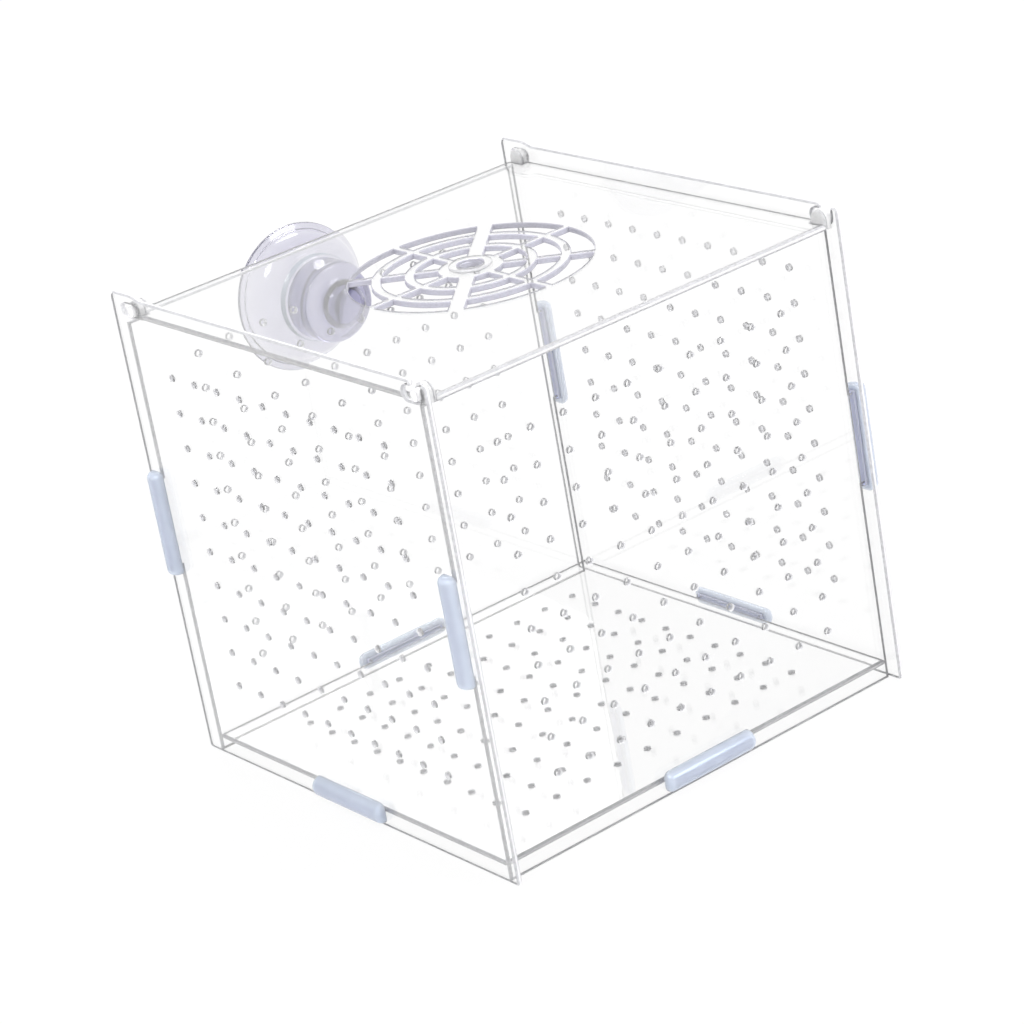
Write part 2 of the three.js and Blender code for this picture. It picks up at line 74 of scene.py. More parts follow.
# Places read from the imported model
LEFT_LOW, LEFT_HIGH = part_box("left_side_wall")
FRONT_LOW, FRONT_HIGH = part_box("front_wall")
BACK_LOW, BACK_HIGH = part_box("back_wall")
FLOOR_LOW, FLOOR_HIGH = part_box("floor_panel")
LID_LOW, LID_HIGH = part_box("lid_panel")
CUP_LOW, CUP_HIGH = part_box("suction_cup")
HINGE_LOW, HINGE_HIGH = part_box("hinge_pin_left")
LATCH_LOW, LATCH_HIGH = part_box("latch_pin_left")
CLIP_LOW, CLIP_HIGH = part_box("front_left_upright_clip")

SHEET = LEFT_HIGH[1] - LEFT_LOW[1]
REAR_X, FRONT_X = LEFT_LOW[0], LEFT_HIGH[0]
MIDDLE_X = (REAR_X + FRONT_X) / 2
INNER_Y = -LEFT_HIGH[1]
OUTER_Y = -LEFT_LOW[1]
PIN_RADIUS = (HINGE_HIGH[0] - HINGE_LOW[0]) / 2
PIN_Z = (HINGE_LOW[2] + HINGE_HIGH[2]) / 2
HINGE_X = (HINGE_LOW[0] + HINGE_HIGH[0]) / 2
LATCH_X = (LATCH_LOW[0] + LATCH_HIGH[0]) / 2
LATCH_TRAVEL = -frame["joints"][0]["range_m"][0]
CLIP_RADIUS = CLIP_HIGH[1] - CLIP_LOW[1]
CLIP_LENGTH = CLIP_HIGH[2] - CLIP_LOW[2]
TONGUE_Z = (CLIP_LOW[2] + CLIP_HIGH[2]) / 2
TONGUE_X = ((FRONT_LOW[0] + FRONT_HIGH[0]) - (BACK_LOW[0] + BACK_HIGH[0])) / 4
FLOOR_Z = (FLOOR_LOW[2] + FLOOR_HIGH[2]) / 2
CORNERS = ("rear_left", "rear_right", "front_left", "front_right")
CLIP_BOXES = [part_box(corner + "_upright_clip") for corner in CORNERS]
CLIP_BOXES += [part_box(side + "_floor_clip") for side in ("left", "right", "rear", "front")]
CUP_Z = (CUP_LOW[2] + CUP_HIGH[2]) / 2
CUP_RADIUS = (CUP_HIGH[2] - CUP_LOW[2]) / 2
CUP_REACH = BACK_LOW[0] - CUP_LOW[0]


def linear(code):
    """An sRGB hex value as a linear colour with alpha 1."""
    values = [int(code[i:i + 2], 16) / 255 for i in (1, 3, 5)]
    return [v / 12.92 if v <= 0.04045 else ((v + 0.055) / 1.055) ** 2.4 for v in values] + [1.0]


def length(name, description, millimetres):
    return bpy.props.FloatProperty(
        name=name, description=description, default=millimetres * MM, unit="LENGTH", precision=5
    )


def count(name, description, default):
    return bpy.props.IntProperty(name=name, description=description, default=default, min=3)


def colour(name, description, code):
    return bpy.props.FloatVectorProperty(
        name=name, description=description, default=linear(code), subtype="COLOR", size=4, min=0, max=1
    )


class BOX_PG_sheets(bpy.types.PropertyGroup):
    """Sizes of the walls and the floor, and of what is cut in them."""

    gap: length("Gap", "Clearance between pieces that seat on each other", 0.3)
    bevel: length("Edge bevel", "Scraped bevel along every cut edge", 0.48)
    hole_bevel: length("Hole bevel", "Countersink left by the drill on both faces", 0.2)
    hole_radius: length("Hole radius", "Drilled holes of the perforation", 0.8)
    hole_pitch: length("Hole pitch", "From hole to hole across a sheet", 10)
    row_pitch: length("Row pitch", "From row to row up the walls", 9.6)
    rows_above_middle: length("Rows above middle", "Middle of the rows above half a wall's height", 2.3)
    holes_across: count("Holes across", "Holes in a row, and rows", 10)
    tongue_length: length("Tongue length", "Tongues that plug through the slots", 25)
    tongue_corner: length("Tongue corner", "Corners cut off a tongue's tip", 0.5)
    corner: length("Sheet corner", "Rounding of the side walls' lower corners", 1.2)
    ear_rise: length("Ear rise", "Hump over the hinge, above the top edge", 1)
    ear_flat: length("Ear length", "Level part of the hump", 9)
    ear_ramp: length("Ear ramp", "Slope from the hump down to the top edge", 5)
    ear_corner: length("Ear corner", "Rounding of the hump's rear corner", 1.8)
    hook: length("Hook thickness", "Nose over the latch pocket", 1.5)
    post_rounding: length("Post rounding", "Corners of the post in front of the latch", 1.1)


class BOX_PG_lid(bpy.types.PropertyGroup):
    """Sizes of the lid's grille, hub, lugs and pins."""

    grille_radius: length("Grille radius", "Outside of the outermost ring of slots", 31.3)
    slot: length("Slot width", "Width of one ring of slots", 5.9)
    bar: length("Bar width", "Between two rings of slots", 2.6)
    rings: count("Rings", "Rings of slots", 3)
    spokes: count("Spokes", "Spokes of the grille", 8)
    spoke: length("Spoke width", "Narrow spokes of the grille", 2.1)
    wide_spoke: length("Wide spoke", "The bar from one corner of the lid to the other", 4.2)
    hub_radius: length("Hub radius", "Raised ring in the middle", 5.6)
    hub_hole: length("Hub hole", "Radius of the hole in the hub", 3.4)
    hub_rise: length("Hub rise", "Raised ring above the lid", 0.8)
    lug_wall: length("Lug wall", "Round the pin's hole", 0.7)
    lug_thickness: length("Lug thickness", "Along the pin", 2.2)
    lug_bevel: length("Lug bevel", "Small edges of the lugs", 0.22)
    socket: length("Socket depth", "Blind hole that holds the pin", 1.6)
    seam: length("Seam", "Glue line between pieces of the lid", 0.01)
    pin_chamfer: length("Pin chamfer", "Turned edge at both ends of a pin", 0.2)


class BOX_PG_mouldings(bpy.types.PropertyGroup):
    """Sizes of the clips and the suction cup."""

    clip_roof: length("Clip roof", "Left over the groove", 0.8)
    clip_end: length("Clip end", "Rounding between a clip's blunt end and its dome", 1.6)
    cup_skirt: length("Skirt depth", "From the rim to where the skirt leaves the hub", 8.2)
    cup_hollow: length("Hollow depth", "Middle of the suction face, behind the rim", 6.2)
    cup_lip: length("Lip width", "Thin flat band round the rim", 1.9)
    cup_lip_thickness: length("Lip thickness", "Of the band at the rim", 0.7)
    cup_step: length("Lip step", "Where the skirt thickens behind the lip", 0.45)
    cup_hub: length("Hub radius", "Thick barrel behind the skirt", 11)
    cup_hub_edge: length("Hub edge", "Rounding of the barrel's end at the wall", 1.7)
    cup_collar: length("Collar rise", "Ring round the barrel where the skirt starts", 0.8)
    cup_collar_length: length("Collar length", "Of the ring, along the barrel", 2)
    cup_neck: length("Neck radius", "Through the wall", 4.4)
    cup_head: length("Head radius", "Snap-in head inside the box", 6.6)
    cup_head_length: length("Head length", "From the wall to the tip of the head", 4.2)


class BOX_PG_colours(bpy.types.PropertyGroup):
    """Colours of the materials."""

    sheet: colour("Sheet", "Clear sheet seen through its polished faces", "#ffffff")
    bevel: colour("Bevel", "Scraped bevels, which show as grey lines", "#c6c6c9")
    drilled: colour("Drilled", "Walls and countersinks of the drilled holes", "#e2e2e4")
    cut: colour("Cut edge", "Laser-cut edges between the bevels", "#e6e6e9")
    # Painted reflection: the violet cast stands for the cup and the clips seen in the grille's slots
    grille: colour("Grille", "Laser-cut slots of the grille, with a violet cast", "#d2d1dd")
    pin: colour("Pin", "Pins and lugs, half frosted", "#fbfbfd")
    clip: colour("Clip", "Translucent blue moulding", "#bcc6dc")
    clip_gloss: colour("Clip gloss", "Azure cast of the light along a clip's ridge", "#cde1ff")
    clip_depth: colour("Clip depth", "What thick blue plastic turns white light to", "#a9b9e2")
    # Painted glow: this pale blue, used as colour and as emission, stands for light under the clips
    painted_glow_under_clip: colour("Covered slot", "Slots and grooves under the clips, which the clips tint", "#d9dcee")
    cup: colour("Cup", "Surface of the soft vinyl", "#e3e2ec")
    # Painted highlight: the collar's paler, faint blue colour stands for light gathered in the ring
    cup_collar: colour("Cup collar", "Ring round the hub, with a faint blue cast", "#d8e4f6")
    cup_depth: colour("Cup depth", "What thick vinyl turns white light to", "#9c99cc")
    floor: colour("Floor", "Plain pale floor", "#f4f4f4")


def add_node(tree, kind, inputs=None, links=None, **settings):
    """Adds one node with its settings, its sockets' values and its links from (node, output) pairs."""
    node = tree.nodes.new(kind)
    for name, value in settings.items():
        setattr(node, name, value)
    for name, value in (inputs or {}).items():
        node.inputs[name].default_value = value
    for name, (source, output) in (links or {}).items():
        tree.links.new(source.outputs[output], node.inputs[name])
    return node


def new_material(name):
    material = bpy.data.materials.new(name)
    material.use_nodes = True
    material.node_tree.nodes.clear()
    return material, material.node_tree


def plastic(name, base, patch_mm, spread, bump_mm, shader_values, absorption=None):
    """A plastic whose tone and surface vary in soft patches of the given size.

    Spread is how far the tone strays from the base colour, up and down.
    """
    material, tree = new_material(name)
    place = add_node(tree, "ShaderNodeTexCoord")
    patches = add_node(
        tree, "ShaderNodeTexNoise",
        {"Scale": 1 / (patch_mm * MM), "Detail": 2.0}, {"Vector": (place, "Object")},
    )
    tone = add_node(
        tree, "ShaderNodeMapRange",
        {"From Min": 0.3, "From Max": 0.7, "To Min": 1 - spread, "To Max": 1 + spread},
        {"Value": (patches, "Fac")},
    )
    tint = add_node(
        tree, "ShaderNodeMix", {"Factor": 1.0, "A": base}, {"B": (tone, "Result")},
        data_type="RGBA", blend_type="MULTIPLY",
    )
    bump = add_node(
        tree, "ShaderNodeBump", {"Strength": 0.5, "Distance": bump_mm * MM}, {"Height": (patches, "Fac")}
    )
    shader = add_node(
        tree, "ShaderNodeBsdfPrincipled", shader_values,
        {"Base Color": (tint, "Result"), "Normal": (bump, "Normal")},
    )
    surface = {"Surface": (shader, "BSDF")}
    if absorption:
        depth_colour, density = absorption
        depth = add_node(tree, "ShaderNodeVolumeAbsorption", {"Color": depth_colour, "Density": density})
        surface["Volume"] = (depth, "Volume")
    add_node(tree, "ShaderNodeOutputMaterial", {}, surface)
    return material


def make_materials():
    """Every material of the box, by its use."""
    c = bpy.context.scene.breeding_box_colours
    # Light spreads under a frosted surface, so a cut edge in a narrow gap still glows a little
    frosted = {"Subsurface Weight": 0.8, "Subsurface Radius": (1.0, 1.0, 1.0), "Subsurface Scale": 1.5 * MM}
    return {
        # Cast acrylic, polished: colourless, mirror-smooth, with slow waves that bend what is behind
        "face": plastic(
            "Cast acrylic, polished face", c.sheet, 25, 0.004, 0.004,
            {"IOR": 1.49, "Transmission Weight": 1.0, "Roughness": 0.0},
        ),
        # Cast acrylic, scraped: a matt bevel that scatters the light, so that each edge shows as a grey line
        "bevel": plastic(
            "Cast acrylic, scraped bevel", c.bevel, 0.8, 0.12, 0.02,
            {"IOR": 1.49, "Transmission Weight": 0.2, "Roughness": 0.45, **frosted},
        ),
        # Cast acrylic, drilled: the same scattering, paler, so that holes show as thin rings
        "drilled": plastic(
            "Cast acrylic, drilled hole", c.drilled, 0.8, 0.08, 0.02,
            {"IOR": 1.49, "Transmission Weight": 0.2, "Roughness": 0.4, **frosted},
        ),
        # Cast acrylic, laser-cut: frosted, pale; the beam's marks drawn 0.5 mm apart, coarse enough to show
        "cut": plastic(
            "Cast acrylic, laser-cut edge", c.cut, 0.5, 0.04, 0.01,
            {"IOR": 1.49, "Transmission Weight": 0.2, "Roughness": 0.3, **frosted},
        ),
        # Cast acrylic, laser-cut: the grille's slots, with a painted violet reflection of the cup and the
        # clips in their colour
        "grille": plastic(
            "Cast acrylic, laser-cut slot of the grille", c.grille, 0.5, 0.08, 0.01,
            {"IOR": 1.49, "Transmission Weight": 0.35, "Roughness": 0.25},
        ),
        # Cast acrylic, turned and tumbled: half frosted, so that pins and lugs show as pale bodies
        "pin": plastic(
            "Cast acrylic, turned pin", c.pin, 0.6, 0.04, 0.005,
            {"IOR": 1.49, "Transmission Weight": 0.3, "Roughness": 0.2, **frosted},
        ),
        # Polycarbonate, moulded: milky blue and glossy; light spreads inside and runs azure along the ridge
        "clip": plastic(
            "Polycarbonate, moulded blue", c.clip, 7, 0.04, 0.02,
            {
                "IOR": 1.58, "Transmission Weight": 0.05, "Roughness": 0.2, "Specular Tint": c.clip_gloss,
                "Specular IOR Level": 0.9,
                "Subsurface Weight": 1.0, "Subsurface Radius": (1.0, 1.0, 1.0), "Subsurface Scale": 9 * MM,
            },
            (c.clip_depth, 110.0),
        ),
        # Cast acrylic, laser-cut under a clip: a painted glow (emission) in a painted pale blue stands in
        # for the light that clear sheet and clip carry into this narrow gap
        "slot": plastic(
            "Cast acrylic, laser-cut slot under a clip", c.painted_glow_under_clip, 0.8, 0.04, 0.01,
            {
                "IOR": 1.49, "Roughness": 0.4, **frosted,
                "Emission Color": c.painted_glow_under_clip, "Emission Strength": 0.22,
            },
        ),
        # Polycarbonate, moulded: the clip's groove, with a faint painted glow (emission) standing in for the
        # light through its thin roof
        "groove": plastic(
            "Polycarbonate, moulded groove", c.painted_glow_under_clip, 7, 0.04, 0.02,
            {"IOR": 1.58, "Roughness": 0.4, "Emission Color": c.painted_glow_under_clip, "Emission Strength": 0.05},
        ),
        # Plasticised PVC, moulded: soft, glossy, nearly clear in the thin skirt and violet-grey in the hub
        "cup": plastic(
            "Soft vinyl, moulded", c.cup, 5, 0.04, 0.05,
            {"IOR": 1.53, "Transmission Weight": 0.93, "Roughness": 0.08},
            (c.cup_depth, 52.0),
        ),
        # The same vinyl at the collar, with a painted highlight: paler and faint blue where the light
        # gathers
        "collar": plastic(
            "Soft vinyl, moulded collar", c.cup_collar, 6, 0.03, 0.03,
            {"IOR": 1.53, "Transmission Weight": 0.5, "Roughness": 0.12},
            (c.cup_depth, 52.0),
        ),
    }


def finishes(*uses):
    return [MATERIALS[use] for use in uses]


def new_object(name, mesh, body, *replaced, slot):
    obj = bpy.data.objects.new(name, mesh)
    bpy.context.scene.collection.objects.link(obj)
    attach(obj, body)
    if replaced:
        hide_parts(*replaced)
    return obj


def arc(x, y, radius, start, end, steps=8):
    """Points of an arc, its angles in quarter turns."""
    angles = [(start + (end - start) * i / steps) * QUARTER for i in range(steps + 1)]
    return [(x + radius * math.cos(a), y + radius * math.sin(a)) for a in angles]


def circle(x, y, radius, steps=16):
    return arc(x, y, radius, 0, 4, steps)[:-1]


def tidy_loop(points):
    """The loop without doubled points, anticlockwise."""
    same_place = 0.01 * MM
    kept = []
    for point in points:
        if not kept or math.dist(point, kept[-1]) > same_place:
            kept.append(point)
    if math.dist(kept[0], kept[-1]) < same_place:
        kept.pop()
    area = sum(a[0] * b[1] - b[0] * a[1] for a, b in zip(kept, kept[1:] + kept[:1]))
    return kept if area > 0 else kept[::-1]


def inset_loop(loop, distance):
    """The anticlockwise loop moved inwards, or outwards if the distance is negative."""
    moved = []
    for i, point in enumerate(loop):
        before, after = Vector(loop[i - 1]), Vector(loop[(i + 1) % len(loop)])
        here = Vector(point)
        one, two = (here - before).normalized(), (after - here).normalized()
        normal = Vector((-one.y - two.y, one.x + two.x)).normalized()
        stretch = max(0.5, normal.dot(Vector((-one.y, one.x))))
        moved.append(tuple(here + normal * (distance / stretch)))
    return moved


def encloses(loop, point):
    """Whether a closed loop goes round a point."""
    inside = False
    for a, b in zip(loop, loop[1:] + loop[:1]):
        if (a[1] > point[1]) != (b[1] > point[1]):
            crossing = a[0] + (point[1] - a[1]) * (b[0] - a[0]) / (b[1] - a[1])
            inside ^= crossing > point[0]
    return inside


def filled_faces(loops, name):
    """Triangles between the first loop and the others, as places in the list of all their points."""
    points, edges, owner = [], [], []
    for number, loop in enumerate(loops):
        first = len(points)
        points += [Vector(point) for point in loop]
        owner += [number] * len(loop)
        edges += [(first + i, first + (i + 1) % len(loop)) for i in range(len(loop))]
    made, _, faces, origins, _, _ = delaunay_2d_cdt(points, edges, [], 0, 1e-9)
    if len(made) != len(points):
        raise RuntimeError("%s: the outline crosses itself" % name)
    kept = []
    for face in faces:
        face = [origins[i][0] for i in face]
        loop = owner[face[0]]
        if all(owner[i] == loop for i in face):
            middle = sum((points[i] for i in face), Vector((0, 0))) / 3
            if encloses(loops[loop], middle) != (loop == 0):
                continue
        kept.append(face)
    return kept


def placing(x_axis, y_axis, z_axis, origin):
    """The matrix that lays a drawing's x, y and thickness along three directions."""
    matrix = Matrix((x_axis, y_axis, z_axis)).transposed().to_4x4()
    matrix.translation = origin
    return matrix


def finish_mesh(name, mesh, matrix, materials):
    bmesh.ops.recalc_face_normals(mesh, faces=mesh.faces)
    mesh.transform(matrix)
    data = bpy.data.meshes.new(name)
    mesh.to_mesh(data)
    mesh.free()
    for material in materials:
        data.materials.append(material)
    return data


def plate_mesh(name, outline, holes, thickness, matrix, bevels, materials):
    """A closed plate from an outline and its holes, with five materials in the order named above."""
    outer = tidy_loop(outline)
    inner = [tidy_loop(hole) for hole in holes]
    loops = [outer] + inner
    bevel, hole_bevel = bevels
    flat = [inset_loop(outer, bevel)] + [inset_loop(loop, -hole_bevel) for loop in inner]
    depths = [bevel] + [hole_bevel] * len(inner)
    mesh = bmesh.new()
    rings = []  # one ring of vertices per loop and level, from the bottom face to the top face
    for source, share, foot in ((flat, 0, 0), (loops, 1, 0), (loops, -1, thickness), (flat, 0, thickness)):
        rings.append([
            [mesh.verts.new((x, y, foot + share * depth)) for x, y in loop]
            for loop, depth in zip(source, depths)
        ])
    bottom = [v for loop in rings[0] for v in loop]
    top = [v for loop in rings[3] for v in loop]
    for face in filled_faces(flat, name):
        mesh.faces.new([top[i] for i in face]).material_index = FACE
        mesh.faces.new([bottom[i] for i in reversed(face)]).material_index = FACE
    walls = [EDGE] + [SQUARE_SLOT if len(loop) == 4 else ROUND_HOLE for loop in inner]
    for low, high, is_wall in zip(rings, rings[1:], (False, True, False)):
        for number, (a, b) in enumerate(zip(low, high)):
            for i in range(len(a)):
                k = (i + 1) % len(a)
                face = mesh.faces.new([a[i], a[k], b[k], b[i]])
                face.material_index = walls[number] if is_wall or walls[number] == ROUND_HOLE else BEVEL
    return finish_mesh(name, mesh, matrix, materials)


def lathe_mesh(name, profile, steps, matrix, materials, bands=()):
    """A closed turned body from a profile of (radius, height) that starts and ends on the axis.

    The profile's stretches whose numbers are in bands have the second material.
    """
    mesh = bmesh.new()
    rings = []
    for radius, height in profile:
        turn = [2 * math.pi * i / steps for i in range(steps)] if radius > 0 else [0]
        rings.append([mesh.verts.new((radius * math.cos(a), radius * math.sin(a), height)) for a in turn])
    for stretch, (low, high) in enumerate(zip(rings, rings[1:])):
        for i in range(steps):
            k = (i + 1) % steps
            if len(low) == 1:
                corners = [low[0], high[k], high[i]]
            elif len(high) == 1:
                corners = [low[i], low[k], high[0]]
            else:
                corners = [low[i], low[k], high[k], high[i]]
            face = mesh.faces.new(corners)
            face.smooth = True
            face.material_index = int(stretch in bands)
    return finish_mesh(name, mesh, matrix, materials)


def rectangle(x, y, half_width, half_height):
    return [
        (x - half_width, y - half_height), (x + half_width, y - half_height),
        (x + half_width, y + half_height), (x - half_width, y + half_height),
    ]


def perforation(x, y, row_pitch, keep_out=None, clear=0.0):
    """The grid of holes round its middle; places nearer than `clear` to `keep_out` stay solid."""
    s = bpy.context.scene.breeding_box_sheets
    steps = [i - (s.holes_across - 1) / 2 for i in range(s.holes_across)]
    places = [(x + column * s.hole_pitch, y + row * row_pitch) for row in steps for column in steps]
    if keep_out:
        places = [place for place in places if math.dist(place, keep_out) > clear]
    return [circle(*place, s.hole_radius) for place in places]


def tongue(x, y, dx, dy):
    """Points of a tongue on an edge that runs anticlockwise in the direction (dx, dy)."""
    s = bpy.context.scene.breeding_box_sheets
    half, corner = s.tongue_length / 2, s.tongue_corner
    reach = FRONT_HIGH[1] - INNER_Y + s.gap
    steps = [
        (-half, 0), (-half, reach - corner), (-half + corner, reach),
        (half - corner, reach), (half, reach - corner), (half, 0),
    ]
    return [(x + dx * along + dy * out, y + dy * along - dx * out) for along, out in steps]


def side_wall_drawing():
    """Side wall in X and Z: hinge slot and ear at the rear, latch notch and post at the front."""
    s = bpy.context.scene.breeding_box_sheets
    ear_top = LEFT_HIGH[2]
    top = ear_top - s.ear_rise
    pin_hole = PIN_RADIUS + s.gap
    post_top = top - s.post_rounding / 2
    nose = s.hook / 2
    outline = [(REAR_X + s.corner, 0)]
    outline += arc(FRONT_X - s.corner, s.corner, s.corner, -1, 0)
    outline += arc(FRONT_X - s.post_rounding, post_top - s.post_rounding, s.post_rounding, 0, 1)
    outline += arc(LATCH_X + pin_hole + s.post_rounding, post_top - s.post_rounding, s.post_rounding, 1, 2)
    outline += arc(LATCH_X, PIN_Z, pin_hole, 0, -1)
    outline += arc(LATCH_X - LATCH_TRAVEL, PIN_Z, pin_hole, -1, -3, 16)
    outline += arc(LATCH_X - pin_hole - nose, top - nose, nose, -1, 1, 12)
    ramp_steps = 12
    for i in range(ramp_steps + 1):
        share = i / ramp_steps
        rise = share * share * (3 - 2 * share)
        outline.append((REAR_X + s.ear_flat + s.ear_ramp * (1 - share), top + s.ear_rise * rise))
    outline += arc(REAR_X + s.ear_corner, ear_top - s.ear_corner, s.ear_corner, 1, 2)
    outline += arc(REAR_X + s.corner, s.corner, s.corner, 2, 3)
    slot = arc(HINGE_X, PIN_Z, pin_hole, -1, 1, 16) + arc(HINGE_X - LATCH_TRAVEL, PIN_Z, pin_hole, 1, 3, 16)
    half, narrow = s.tongue_length / 2 + s.gap, SHEET / 2 + s.gap
    holes = [slot, rectangle(MIDDLE_X, FLOOR_Z, half, narrow)]
    holes += [rectangle(MIDDLE_X + end * TONGUE_X, TONGUE_Z, narrow, half) for end in (-1, 1)]
    return outline, holes + perforation(MIDDLE_X, TONGUE_Z, s.row_pitch)


def end_wall_drawing(height, neck_z=None):
    """End wall in Y and Z, with a tongue on each upright edge."""
    s = bpy.context.scene.breeding_box_sheets
    edge = INNER_Y - s.gap
    outline = [(-edge, 0), (edge, 0)] + tongue(edge, TONGUE_Z, 0, 1)
    outline += [(edge, height), (-edge, height)] + tongue(-edge, TONGUE_Z, 0, -1)
    holes = [rectangle(0, FLOOR_Z, s.tongue_length / 2 + s.gap, SHEET / 2 + s.gap)]
    middle = FRONT_HIGH[2] / 2 + s.rows_above_middle
    if neck_z is None:
        return outline, holes + perforation(0, middle, s.row_pitch)
    neck = bpy.context.scene.breeding_box_mouldings.cup_neck + s.gap
    holes += perforation(0, middle, s.row_pitch, (0, neck_z), neck + 2 * s.hole_radius)
    return outline, holes + [circle(0, neck_z, neck, 48)]


def floor_drawing():
    """Floor in X and Y, with a tongue on each edge."""
    s = bpy.context.scene.breeding_box_sheets
    far_x, far_y = FRONT_LOW[0] - s.gap - MIDDLE_X, INNER_Y - s.gap
    outline = [(-far_x, -far_y)] + tongue(0, -far_y, 1, 0) + [(far_x, -far_y)] + tongue(far_x, 0, 0, 1)
    outline += [(far_x, far_y)] + tongue(0, far_y, -1, 0) + [(-far_x, far_y)] + tongue(-far_x, 0, 0, -1)
    return [(x + MIDDLE_X, y) for x, y in outline], perforation(MIDDLE_X, 0, s.hole_pitch)


def under_clip(point, near):
    """Whether a point lies in a clip's box, or nearer to it than `near`."""
    return any(all(low[i] - near < point[i] < high[i] + near for i in range(3)) for low, high in CLIP_BOXES)


class BOX_OT_panels(bpy.types.Operator):
    """Makes the four walls and the floor, perforated and plugged together."""

    bl_idname = "breeding_box.panels"
    bl_label = "Walls and floor"

    def execute(self, context):
        s = context.scene.breeding_box_sheets
        finish = finishes("face", "cut", "bevel", "drilled", "slot")
        along_x = ((1, 0, 0), (0, 0, 1), (0, -1, 0))  # drawn in X and Z, thick towards -Y
        along_y = ((0, 1, 0), (0, 0, 1), (1, 0, 0))  # drawn in Y and Z, thick towards +X
        level = ((1, 0, 0), (0, 1, 0), (0, 0, 1))
        jobs = [
            ("left_side_wall", side_wall_drawing(), along_x, (0, -INNER_Y, 0)),
            ("right_side_wall", side_wall_drawing(), along_x, (0, OUTER_Y, 0)),
            ("front_wall", end_wall_drawing(FRONT_HIGH[2]), along_y, (FRONT_LOW[0], 0, 0)),
            ("back_wall", end_wall_drawing(BACK_HIGH[2], CUP_Z), along_y, (BACK_LOW[0], 0, 0)),
            ("floor_panel", floor_drawing(), level, (0, 0, FLOOR_LOW[2])),
        ]
        for node, (outline, holes), axes, origin in jobs:
            name = node + "_sheet"
            matrix = placing(*axes, origin)
            mesh = plate_mesh(name, outline, holes, SHEET, matrix, (s.bevel, s.hole_bevel), finish)
            # Edges and bevels next to a clip take the slot material, with its painted glow
            for face in mesh.polygons:
                if face.material_index in (EDGE, BEVEL) and under_clip(face.center, s.gap + s.hole_bevel):
                    face.material_index = SQUARE_SLOT
            new_object(name, mesh, "box", node, slot="clear_plastic")
        return {"FINISHED"}


def lid_outline(lug_half, lug_depth):
    """The lid's outline, its corners cut out for the feet of the lugs."""
    left, bottom, right, top = LID_LOW[0], LID_LOW[1], LID_HIGH[0], LID_HIGH[1]
    rear, front = HINGE_X + lug_half, LATCH_X - lug_half
    low, high = bottom + lug_depth, top - lug_depth
    return [
        (left, low), (rear, low), (rear, bottom), (front, bottom), (front, low), (right, low),
        (right, high), (front, high), (front, top), (rear, top), (rear, high), (left, high),
    ]


def grille_slots():
    """Rings of slots between spokes with parallel sides."""
    lid = bpy.context.scene.breeding_box_lid
    step = 2 * math.pi / lid.spokes
    # The wide bar lies on the diagonal from the rear right corner to the front left one
    half = lid.spokes // 2
    widths = [lid.wide_spoke if i % half == half - 1 else lid.spoke for i in range(lid.spokes)]
    slots = []
    for ring in range(lid.rings):
        outer = lid.grille_radius - ring * (lid.slot + lid.bar)
        for i in range(lid.spokes):
            k = (i + 1) % lid.spokes
            loop = []
            for radius, way in ((outer, 1), (outer - lid.slot, -1)):
                first = i * step + math.asin(widths[i] / 2 / radius)
                last = (i + 1) * step - math.asin(widths[k] / 2 / radius)
                loop += arc(0, 0, radius, first / QUARTER, last / QUARTER, 12)[::way]
            slots.append([(x + MIDDLE_X, y) for x, y in loop])
    return slots


class BOX_OT_lid(bpy.types.Operator):
    """Makes the lid: a sheet with a ringed grille, a raised hub and the lugs that hold the pins."""

    bl_idname = "breeding_box.lid"
    bl_label = "Lid"

    def execute(self, context):
        s, lid = context.scene.breeding_box_sheets, context.scene.breeding_box_lid
        # The grille's slots and the hub hole take the grille material, with its painted violet reflection
        finish = finishes("face", "pin", "bevel", "grille", "grille")
        lug_finish = finishes("pin", "pin", "bevel", "pin", "pin")
        level = ((1, 0, 0), (0, 1, 0), (0, 0, 1))
        pin_hole = PIN_RADIUS + s.gap
        eye = pin_hole + lid.lug_wall
        outline = lid_outline(eye + lid.seam, lid.lug_thickness + lid.seam)
        hub_hole = circle(MIDDLE_X, 0, lid.hub_hole, 48)
        mesh = plate_mesh(
            "lid_sheet", outline, grille_slots() + [hub_hole], SHEET,
            placing(*level, (0, 0, LID_LOW[2])), (s.bevel, s.hole_bevel), finish,
        )
        new_object("lid_sheet", mesh, "lid", "lid_panel", slot="clear_plastic")

        hub_foot = LID_LOW[2] + SHEET + lid.seam
        mesh = plate_mesh(
            "lid_hub_ring", circle(MIDDLE_X, 0, lid.hub_radius, 64), [hub_hole], lid.hub_rise - lid.seam,
            placing(*level, (0, 0, hub_foot)), (s.hole_bevel, s.hole_bevel), finish,
        )
        new_object("lid_hub_ring", mesh, "lid", slot="clear_plastic")

        outer = INNER_Y - s.gap
        layers = (
            ("eye", outer, outer - lid.socket),
            ("cheek", outer - lid.socket - lid.seam, outer - lid.lug_thickness),
        )
        for end, x in (("hinge", HINGE_X), ("latch", LATCH_X)):
            outline = [(x - eye, LID_LOW[2]), (x + eye, LID_LOW[2])] + arc(x, PIN_Z, eye, 0, 2, 20)
            socket = circle(x, PIN_Z, pin_hole, 32)
            for side, sign in (("left", -1), ("right", 1)):
                for part, far, near in layers:
                    name = "%s_lug_%s_%s" % (end, part, side)
                    matrix = placing((1, 0, 0), (0, 0, 1), (0, -1, 0), (0, far if sign > 0 else -near, 0))
                    mesh = plate_mesh(
                        name, outline, [socket] if part == "eye" else [], far - near, matrix,
                        (lid.lug_bevel, lid.lug_bevel), lug_finish,
                    )
                    new_object(name, mesh, "lid", slot="clear_plastic")
        return {"FINISHED"}


